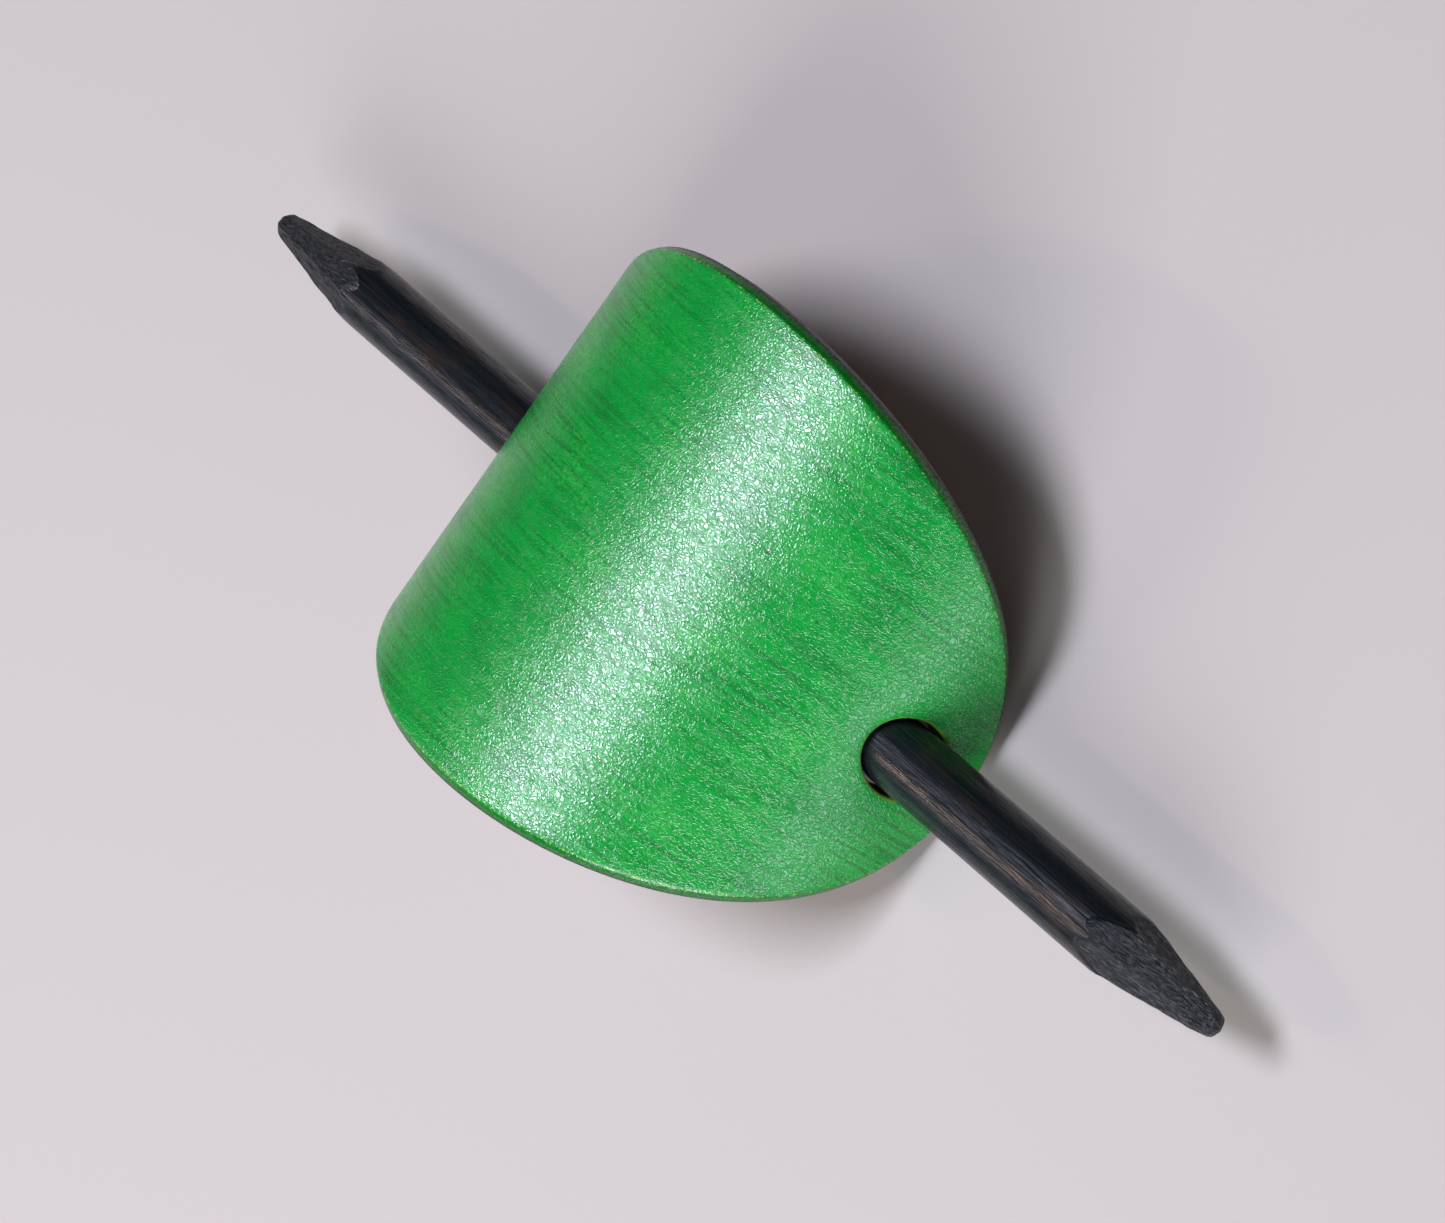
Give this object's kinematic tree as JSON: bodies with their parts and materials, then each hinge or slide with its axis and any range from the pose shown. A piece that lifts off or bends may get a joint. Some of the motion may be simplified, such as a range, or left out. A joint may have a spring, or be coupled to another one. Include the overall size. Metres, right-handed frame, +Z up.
{
  "type": "leather hair slide with stick",
  "caption": "Oval leather hair slide bent into an arch, held shut by a pointed wooden stick that slides through holes near its ends.",
  "frame": {"origin": "centre of the object's footprint, on the surface that the two ends of the arch stand on", "axes": "+X along the stick towards its right-hand point, +Y across the slide, +Z up through the crown of the arch"},
  "size_m": [0.1354, 0.0504, 0.0243],
  "materials": {
    "dyed_leather": "vegetable-tanned leather, hand-dyed green and waxed, burnished edge",
    "stained_wood": "hardwood stained black, oiled to a satin"
  },
  "bodies": {
    "plate": {"leather_plate": "dyed_leather"},
    "stick": {"wooden_stick": "stained_wood"}
  },
  "joints": [
    {"name": "stick_slide", "type": "slide", "parent": "plate", "child": "stick", "axis": [1, 0, 0], "range_m": [-0.1, 0.1]}
  ]
}
